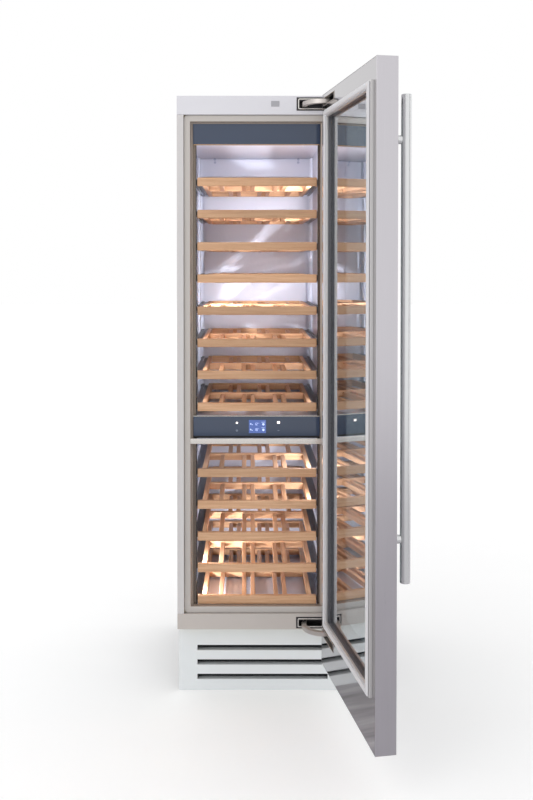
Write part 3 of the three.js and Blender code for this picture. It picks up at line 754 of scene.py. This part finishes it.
def make_control_panel():
    attach(softened("control_panel", M["slate"], 0.0007), "cabinet", "slate_glass", "control_panel")
    trim_bar = softened("divider_trim_bar", M["trim"], 0.0024, 4)
    attach(trim_bar, "cabinet", "bright_trim", "divider_trim_bar")
    attach(softened("display", M["display"], 0.0003), "cabinet", "display", "display")
    low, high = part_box("control_panel")
    bm = bmesh.new()
    add_block(bm, (low.x, high.x), (low.y - 0.0015, high.y), (high.z + 0.0002, high.z + 0.0026), 0.0006)
    attach(bm_object("control_top_trim", bm, M["trim"]), "cabinet", "bright_trim")
    bm = bmesh.new()
    add_block(bm, (low.x, high.x), (low.y + 0.001, high.y), (low.z - 0.0075, low.z - 0.0003), 0.0006)
    attach(bm_object("control_shadow_gap", bm, M["painted_shade"]), "cabinet", "dark_plastic")
    make_display_marks()
    make_touch_points(low.y)


def add_rod(bm, centre, radius, depth, sides=20):
    """A disc or rod along Y."""
    made = bmesh.ops.create_cone(bm, cap_ends=True, segments=sides, radius1=radius, radius2=radius,
                                 depth=depth)["verts"]
    turn = Matrix.Rotation(math.radians(90), 4, "X")
    bmesh.ops.transform(bm, matrix=Matrix.Translation(centre) @ turn, verts=made)


MARK_RELIEF = 0.3 * MM


def add_mark(bm, y, x0, x1, z0, z1, radius=0.0002):
    """A flat printed or lit bar on a front at Y = y."""
    add_block(bm, (x0, x1), (y - MARK_RELIEF, y + 0.0002), (z0, z1), radius, segments=1)


SEGMENTS = {"1": "bc", "2": "abged", "8": "abcdefg"}
DIGIT_WIDTH = 4.8 * MM
DIGIT_HEIGHT = 9 * MM
DIGIT_PITCH = 6.5 * MM
DIGIT_STROKE = 1.1 * MM
READINGS = ((0.028, "12"), (0.008, "18"))  # height in the display, and its digits


def add_digit(bm, digit, x, z, y):
    """A seven-segment digit from small bars."""
    t = DIGIT_STROKE
    right = x + DIGIT_WIDTH
    top = z + DIGIT_HEIGHT
    middle = z + DIGIT_HEIGHT / 2
    spots = {
        "a": (x, right, top - t, top),
        "b": (right - t, right, middle, top),
        "c": (right - t, right, z, middle),
        "d": (x, right, z, z + t),
        "e": (x, x + t, z, middle),
        "f": (x, x + t, middle, top),
        "g": (x, right, middle - t / 2, middle + t / 2),
    }
    for key in SEGMENTS[digit]:
        add_mark(bm, y, *spots[key], radius=0.0001)


def make_display_marks():
    """Two rows of a dot and bar, two digits with a degree dot, and a lamp sign."""
    low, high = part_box("display")
    y = low.y
    bm = bmesh.new()
    for row, text in READINGS:
        z = low.z + row
        for i, digit in enumerate(text):
            add_digit(bm, digit, low.x + 0.0195 + i * DIGIT_PITCH, z, y)
        add_rod(bm, (low.x + 0.035, y, z + 0.0075), 0.0011, 0.0005)
        add_rod(bm, (low.x + 0.0065, y, z + 0.005), 0.0026, 0.0005)
        add_mark(bm, y, low.x + 0.010, low.x + 0.0135, z + 0.001, z + 0.0035)
        add_rod(bm, (high.x - 0.0095, y, z + 0.0035), 0.0042, 0.0005)
        add_mark(bm, y, high.x - 0.0165, high.x - 0.004, z + 0.0105, z + 0.0118)
    attach(bm_object("display_marks", bm, M["mark"]), "cabinet", "display")


def make_touch_points(y):
    """A lit dot and a lit double bar, each with a dim mark under it."""
    left = in_cabinet(-92.3, 0, 975.5)
    right = in_cabinet(56.0, 0, 977.0)
    bm = bmesh.new()
    add_rod(bm, (left.x, y - 0.0001, left.z), 0.0036, 0.0006, 28)
    for side in (-1, 1):
        x = right.x + side * 0.0026
        add_block(bm, (x - 0.0022, x + 0.0022), (y - 0.0004, y + 0.0002),
                  (right.z - 0.004, right.z + 0.004), 0.0003, segments=1)
    attach(bm_object("touch_points_lit", bm, M["touch"]), "cabinet", "display")
    bm = bmesh.new()
    add_rod(bm, (left.x, y - 0.0001, left.z - 0.0275), 0.0042, 0.0005, 28)
    add_mark(bm, y, right.x - 0.0032, right.x + 0.0032, right.z - 0.030, right.z - 0.0275)
    attach(bm_object("touch_points_dim", bm, M["dim"]), "cabinet", "slate_glass")


# ------------------------------------------------------------------ inside of the cabinet
def screw_head(bm):
    """A stepped pan head that faces the front."""
    add_rod(bm, (0, -0.0006, 0), 0.0052, 0.0012, 20)
    add_rod(bm, (0, -0.0016, 0), 0.0042, 0.0010, 20)


def make_liner_details():
    """The rear air panels, the folded cover over them, and their screws."""
    low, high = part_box("inner_liner")
    wall = high.y - 0.002
    panel = (low.x + 0.026, high.x - 0.026)
    cover = (low.x + 0.010, high.x - 0.010)
    bm = bmesh.new()
    add_block(bm, panel, (wall - 0.006, wall - 0.0002), (1.0, 1.905), 0.0012)
    add_block(bm, panel, (wall - 0.006, wall - 0.0002), (0.325, 0.895), 0.0012)
    add_block(bm, cover, (wall - 0.012, wall - 0.0002), (1.9065, 1.978), 0.0015)
    attach(bm_object("rear_air_panels", bm, M["liner"]), "cabinet", "liner")
    proto = prototype(screw_head)
    spots = []
    for x in REAR_SCREWS_X:
        spots.append(in_cabinet(x, 578, 1977.5))
        spots.append(in_cabinet(x, 588, 1966))
        for z in (1010, 880, 345):
            spots.append(in_cabinet(x, 594, z))
    attach(repeated("liner_screws", spots, proto, M["screw"]), "cabinet", "galvanised")
    bpy.data.objects.remove(proto)


UPRIGHT_DEPTH = 10.5 * MM  # how far an upright stands off the liner's wall
UPRIGHT_D = ((60, 76), (556, 572))
SLOT_D = (68, 564)
SLOT_DROPS = (-48, -40, -32)
RAIL_D = (58 * MM, 574 * MM)
RAIL_DROP = 4.5 * MM
RAIL_HEIGHT = 21 * MM
RAIL_WIDTH = 10.5 * MM
RAIL_SHEET = 1.4 * MM
BRACKET_D = (61, 557)


def rack_top(rack):
    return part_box(rack)[1].z


def wall_and_rack_side(node, sign):
    """X of a runner ladder at the liner's wall, and X of its side at the racks."""
    low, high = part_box(node)
    return (low.x, high.x) if sign > 0 else (high.x, low.x)


def upright_slot(bm):
    add_bar(bm, (-0.0003, -0.0025, -0.0028), (0.0003, 0.0025, 0.0028), 0.0002, segments=1)


def make_runners():
    """Perforated white uprights and, for each rack, a fixed steel rail on brackets."""
    for hand, sign in (("left", 1), ("right", -1)):
        node = f"{hand}_runner_ladder"
        wall_x = wall_and_rack_side(node, sign)[0]
        front_x = wall_x + sign * UPRIGHT_DEPTH
        bm = bmesh.new()
        for d0, d1 in UPRIGHT_D:
            ys = (FRONT_Y + d0 * MM, FRONT_Y + d1 * MM)
            for zone in (LOWER_ZONE, UPPER_ZONE):
                add_block(bm, (wall_x, front_x), ys, zone, 0.0012)
        attach(bm_object(f"{hand}_uprights", bm, M["liner"]), "cabinet", "runner_steel", node)
        bm = bmesh.new()
        holes = []
        for rack in RACKS:
            top = rack_top(rack)
            add_rail(bm, node, sign, top)
            holes += [Vector((front_x, FRONT_Y + d * MM, top + drop * MM)) for d in SLOT_D
                      for drop in SLOT_DROPS]
        attach(bm_object(f"{hand}_fixed_rails", bm, M["runner"]), "cabinet", "runner_steel")
        # Each perforation is a thin dark plate on the upright's face: painted shade in the hole.
        proto = prototype(upright_slot)
        slots = repeated(f"{hand}_upright_slots", holes, proto, M["painted_shade"])
        attach(slots, "cabinet", "runner_steel")
        bpy.data.objects.remove(proto)


def add_rail(bm, node, sign, top):
    """A C-shaped rail, open towards the rack, with two brackets to the uprights."""
    wall_x, rack_x = wall_and_rack_side(node, sign)
    z1 = top - RAIL_DROP
    z0 = z1 - RAIL_HEIGHT
    web = rack_x - sign * RAIL_WIDTH
    ys = [FRONT_Y + d for d in RAIL_D]
    add_channel(bm, web, rack_x, RAIL_SHEET, ys, (z0, z1))
    for d0 in BRACKET_D:
        y = FRONT_Y + d0 * MM
        add_block(bm, (wall_x + sign * 0.011, web + sign * 0.0004), (y, y + 0.014),
                  (z0 + 0.002, z1 - 0.002), 0.0005, segments=1)


# ------------------------------------------------------------------ racks
def slat_prototype(length):
    def build(bm):
        layer = bm.verts.layers.float_vector.new("board")
        add_bar(bm, (-SLAT_HALF, 0, -SLAT_HEIGHT), (SLAT_HALF, length, 0), 0.0016, "Y", layer)
    return prototype(build)


def rack_bars(rack):
    """The front, middle, rear and side bars of a rack."""
    low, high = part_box(rack)
    centre = (low.x + high.x) / 2
    top = high.z
    cross = (centre - TRAY_HALF + 0.0162, centre + TRAY_HALF - 0.0162)
    bm = bmesh.new()
    wood = {"layer": bm.verts.layers.float_vector.new("board")}
    add_block(bm, (low.x, high.x), (low.y, low.y + FRONT_BAR), (low.z, top), 0.0026, grain="X",
              segments=3, **wood)
    for ys in ([low.y + d for d in MIDDLE_BAR], (high.y - 0.019, high.y)):
        add_block(bm, cross, ys, (top - 0.028, top - 0.002), 0.0018, grain="X", **wood)
    for x in (centre - TRAY_HALF, centre + TRAY_HALF - SIDE_BAR):
        add_block(bm, (x, x + SIDE_BAR), (low.y + 0.0192, high.y), (top - 0.027, top - 0.003), 0.0018,
                  grain="Y", **wood)
    return bm_object("bars", bm, M["beech"])


def make_racks():
    """Thirteen beech trays; the rear slats are the front ones mirrored."""
    front_slat = slat_prototype(0.2508)
    rear_slat = slat_prototype(0.2428)
    for number, rack in enumerate(RACKS):
        low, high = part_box(rack)
        centre = (low.x + high.x) / 2
        z = high.z - SLAT_DROP
        bars = rack_bars(rack)
        front_points = [(centre + x * MM, low.y + 0.0191, z) for x in FRONT_SLATS]
        rear_points = [(centre - x * MM, low.y + 0.2881, z) for x in FRONT_SLATS]
        front = repeated("front", front_points, front_slat, M["beech"], number * 2 + 1, True)
        rear = repeated("rear", rear_points, rear_slat, M["beech"], number * 2 + 2, True)
        tray = joined(f"{rack}_tray", [bars, front, rear], M["beech"])
        attach(tray, rack, "beech", rack)
        make_slides(rack, centre, high.z, low.y)
    bpy.data.objects.remove(front_slat)
    bpy.data.objects.remove(rear_slat)


SLIDE_GAP = 0.2 * MM
SLIDE_WIDTH = 15 * MM
SLIDE_HEIGHT = 15.6 * MM
SLIDE_SHEET = 1.3 * MM
SLIDE_DROP = 7.2 * MM


def make_slides(rack, centre, top, y0):
    """The slides' moving members: a narrow channel on each side of the rack."""
    bm = bmesh.new()
    z1 = top - SLIDE_DROP
    for sign in (-1, 1):
        inner = centre + sign * (TRAY_HALF + SLIDE_GAP)
        add_channel(bm, inner, inner + sign * SLIDE_WIDTH, SLIDE_SHEET, (y0 + 0.025, y0 + 0.510),
                    (z1 - SLIDE_HEIGHT, z1))
    attach(bm_object(f"{rack}_slides", bm, M["runner"]), rack, "runner_steel")


# ------------------------------------------------------------------ hinges
def make_hinges():
    """Pockets drawn near black as painted shade inside them, each with a bright ring, and the curved arms.
    """
    for end in ("top", "bottom"):
        pocket = f"hinge_pocket_{end}"
        attach(softened(pocket, M["pocket"], 0.0007), "cabinet", "cast_zinc", pocket)
        low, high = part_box(pocket)
        rect = (low.x + 0.0050, high.x - 0.0050, low.z + 0.0042, high.z - 0.0042)
        y = low.y
        profile = [(0, y + 0.0004), (0, y - 0.0010), (0.0008, y - 0.0016), (0.0030, y - 0.0016),
                   (0.0036, y - 0.0010), (0.0036, y + 0.0004)]
        ring = framed(f"{pocket}_ring", rect, 0.005, profile, M["trim"])
        attach(ring, "cabinet", "cast_zinc")
        arm = f"hinge_arm_{end}"
        attach(softened(arm, M["cast"], 0.0035, 4), "hinge_arms", "cast_zinc", arm)


# ------------------------------------------------------------------ door
def make_door_steel():
    outer = softened("door_outer_panel", M["outer_steel"], 0.0014, 3)
    attach(outer, "door", "steel_outer", "door_outer_panel")
    inner = softened("door_inner_panel", M["inner_steel"], 0.0004)
    attach(inner, "door", "steel_inner", "door_inner_panel")
    # The door's core takes the same near black: painted shade.
    repaint("door_core", M["pocket"])
    attach(softened("inner_glass", M["glass"], 0.0004), "door", "glass", "inner_glass")
    attach(softened("outer_glass", M["tinted"], 0.0004), "door", "glass", "outer_glass")


def make_door_frame():
    """The raised steel frame with its sloped inner edge, and the gasket on it."""
    inner = WINDOW[0] - RAISED_FRAME[0]
    profile = [(0, -0.0003), (0, -0.0085), (0.0004, -0.0093), (0.0015, -0.0100),
               (inner - 0.0055, -0.0100), (inner - 0.004, -0.0094), (inner - 0.0005, -0.004),
               (inner, -0.002), (inner, 0.0067), (inner - 0.0027, 0.0067), (inner - 0.0027, -0.0003)]
    piece = framed("door_inner_frame_shape", RAISED_FRAME, 0.004, profile, M["frame_steel"], DOOR)
    attach(piece, "door", "frame_steel", "door_inner_frame")
    profile = [(0.002, -0.0103), (0.0, -0.0118), (0.0, -0.0135), (0.0022, -0.0155), (0.006, -0.0168),
               (0.010, -0.0170), (0.0145, -0.0168), (0.0175, -0.0150), (0.0185, -0.0128),
               (0.0175, -0.0112), (0.0200, -0.0108), (0.0205, -0.0103)]
    piece = framed("door_gasket_shape", GASKET, 0.006, profile, M["gasket"], DOOR, 50)
    attach(piece, "door", "gasket", "door_gasket")


def make_window_beads():
    """Two beads inside the window's edge, and the spacer between the panes. The lower bead, in the gasket's
    slot, is drawn dark grey as painted shade under the frame's inner lip.
    """
    profile = [(-0.002, -0.0104), (-0.0006, -0.0112), (0.0006, -0.0104), (0.0008, -0.0046),
               (0.0002, -0.0040), (-0.0004, -0.0100)]
    piece = framed("window_bead_upper", WINDOW, 0.002, profile, M["frame_steel"], DOOR, 30)
    attach(piece, "door", "frame_steel")
    profile = [(-0.0004, -0.0036), (0.0004, -0.0036), (0.0008, -0.0030), (0.0008, 0.0064),
               (-0.0004, 0.0064)]
    piece = framed("window_bead_lower", WINDOW, 0.002, profile, M["bead"], DOOR, 30)
    attach(piece, "door", "gasket")
    profile = [(0, 0.0113), (0.0300, 0.0113), (0.0307, 0.012), (0.0307, 0.051), (0.03, 0.0517),
               (0, 0.0517)]
    piece = framed("glass_spacer_shape", PANE, 0.002, profile, M["spacer"], DOOR)
    attach(piece, "door", "spacer", "glass_spacer")


def make_door_pockets():
    """A light bezel round each of the door's hinge slots, with a thin lining inside it."""
    u0, u1 = ARM_SLOT_U
    gap = 0.3
    profile = [(-0.0020, -0.0002), (-0.0020, -0.0010), (-0.0014, -0.0016), (0.0004, -0.0016),
               (0.0010, -0.0010), (0.0010, 0.0120), (0, 0.0120), (0, -0.0002)]
    for end, (z0, z1) in ARM_SLOTS_Z.items():
        rect = ((u0 + gap) * MM, (u1 - gap) * MM, (z0 + gap) * MM, (z1 - gap) * MM)
        piece = framed(f"door_pocket_bezel_{end}", rect, 0.004, profile, M["cast"], DOOR)
        attach(piece, "door", "cast_zinc")


def make_handle():
    attach(softened("handle_bar", M["handle"], 0.0015, 3), "door", "bright_trim", "handle_bar")
    for end in ("top", "bottom"):
        post = f"handle_post_{end}"
        attach(softened(post, M["handle"], 0.0008), "door", "bright_trim", post)


# ------------------------------------------------------------------ stage, lights, camera
def stage_floor():
    """A pale floor, and a streaked grey card over it that only reflections see."""
    bpy.ops.mesh.primitive_plane_add(size=60, location=(0, 0, -0.0005))
    floor = bpy.context.object
    floor.name = "studio_floor"
    finish, tree, shader = start_material("studio_floor_finish", Roughness=0.9)
    shader.inputs["Base Color"].default_value = (0.93, 0.93, 0.93, 1)
    shader.inputs["Emission Color"].default_value = (1, 1, 1, 1)
    shader.inputs["Emission Strength"].default_value = 0.12
    floor.data.materials.append(finish)
    bpy.ops.mesh.primitive_plane_add(size=8, location=(0, -1.0, 0.0004))
    card = bpy.context.object
    card.name = "floor_card"
    streaked = brushed("floor_card_finish", srgb(186, 184, 188), 0.9, (1.2, 13, 1), shade=2.4,
                       metallic=0.0)
    card.data.materials.append(streaked)
    only_in_reflections(card)


def stage_dark_card():
    """A tall dark card out of the picture, for the dark line on the round handle."""
    on_edge = (0, math.radians(90), 0)
    bpy.ops.mesh.primitive_plane_add(size=1, location=(2.4, -1.7, 1.5), rotation=on_edge)
    card = bpy.context.object
    card.name = "dark_card"
    card.scale = (3.4, 0.55, 1)
    card.data.materials.append(coated("dark_card_finish", srgb(40, 40, 42), 0.8))
    only_in_reflections(card)


def only_in_reflections(piece):
    piece.visible_camera = False
    piece.visible_diffuse = False
    piece.visible_shadow = False
    piece.visible_transmission = False


def area_light(name, place, target, size, power, color=(1, 1, 1), height=None):
    data = bpy.data.lights.new(name, "AREA")
    data.energy = power
    data.color = color
    data.shape = "RECTANGLE"
    data.size = size
    data.size_y = height or size
    light = bpy.data.objects.new(name, data)
    bpy.context.scene.collection.objects.link(light)
    light.location = place
    light.rotation_euler = (Vector(target) - Vector(place)).to_track_quat("-Z", "Y").to_euler()
    return light


# The lamp strips' places in X, the powers of their small bright lamps, and the stretches of Z that
# glow faintly, each with its power per metre.
STRIP_X = {-1: -0.250, 1: 0.205}
SPOT_PARTS = (0.2, 0.8)
SPOT_POWERS = {-1: {"upper": 1.8, "lower": 1.2}, 1: {"upper": 1.15, "lower": 0.6}}
GLOW_UPPER = (1.03, 1.93, 2.2)
GLOW_LOWER = (0.36, 0.88, 0.8)
CEILING_LAMPS = ((-0.13, 0.12), (0.10, 0.5))  # place in X and power


def make_lights():
    world = bpy.data.worlds.new("studio")
    bpy.context.scene.world = world
    world.use_nodes = True
    filled(world.node_tree.nodes["Background"], Color=(1, 1, 1, 1), Strength=1.0)
    area_light("key", (-2.4, -3.2, 3.4), (0, 0, 1.1), 2.2, 20)
    for side, zones in ((-1, LIT_LEFT), (1, LIT_RIGHT)):
        light_strip(side, zones)
    for x, power in CEILING_LAMPS:
        place = Vector((x, FRONT_Y + 0.060, 1.972))
        lamp_light(place, Vector((0, 0.6, -0.25)), 0.2, 0.008, power)


def light_strip(side, zones):
    """One side's lamp strip: small lamps in its bright zones, and a faint glow along the rest."""
    x = STRIP_X[side]
    for low, high in zones:
        power = SPOT_POWERS[side]["upper" if low > 1.0 else "lower"]
        for part in SPOT_PARTS:
            place = Vector((x, FRONT_Y + 0.050, low + (high - low) * part))
            lamp_light(place, Vector((-side * 0.30, 0.45, 0)), 0.006, 0.010, power)
    for low, high, strength in (GLOW_LOWER, GLOW_UPPER):
        place = Vector((x, FRONT_Y + 0.052, (low + high) / 2))
        lamp_light(place, Vector((-side * 0.20, 0.5, 0)), 0.008, high - low, strength * (high - low))


def lamp_light(place, aim, width, height, power):
    """Light from a lamp; the camera and reflections see the lamp strip in its place."""
    lamp = area_light("lamp", place, place + aim, width, power, (0.93, 0.95, 1.0), height)
    lamp.data.spread = math.radians(140)
    lamp.visible_camera = False
    lamp.visible_glossy = False


CAMERA_PLACE = (-0.0521, -3.199, 1.544)
CAMERA_TILT = 1.07  # degrees below level
CAMERA_LENS = 39.99
CAMERA_SHIFT = (0.0229, -0.150)


def make_camera():
    data = bpy.data.cameras.new("camera")
    data.lens = CAMERA_LENS
    data.sensor_width = 36
    data.shift_x, data.shift_y = CAMERA_SHIFT
    camera = bpy.data.objects.new("camera", data)
    bpy.context.scene.collection.objects.link(camera)
    camera.location = CAMERA_PLACE
    camera.rotation_euler = (math.radians(90 - CAMERA_TILT), 0, 0)
    bpy.context.scene.camera = camera


make_camera()
make_shell()
make_front_frame()
make_strike_frame()
make_return_blades()
make_grille_shade_sheet()
make_header()
make_control_panel()
make_liner_details()
make_runners()
make_racks()
make_hinges()
make_door_steel()
make_door_frame()
make_window_beads()
make_door_pockets()
make_handle()
stage_floor()
stage_dark_card()
make_lights()
bpy.context.scene.view_settings.view_transform = "Standard"
